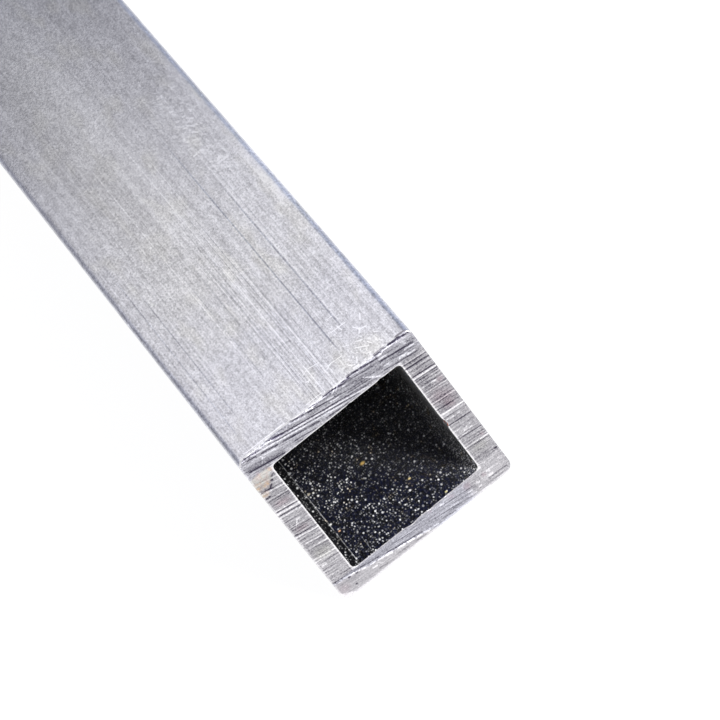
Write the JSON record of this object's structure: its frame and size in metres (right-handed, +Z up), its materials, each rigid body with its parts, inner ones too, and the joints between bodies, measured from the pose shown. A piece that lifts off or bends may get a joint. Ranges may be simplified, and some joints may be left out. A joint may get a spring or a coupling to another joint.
{
  "type": "square metal tube",
  "caption": "Straight square hollow metal tube, open right through, sawn square at both ends, as stock for frames, sleeves and posts.",
  "frame": {"origin": "middle of the face that the tube lies on, half way along it", "axes": "+X along the tube, +Z up from the face that it lies on, +Y across it"},
  "size_m": [0.3048, 0.0254, 0.0254],
  "materials": {
    "aluminium": "as extruded, with fine lines along the tube, and sawn ends left unfinished"
  },
  "bodies": {
    "root": {"square_tube": "aluminium"}
  },
  "joints": []
}
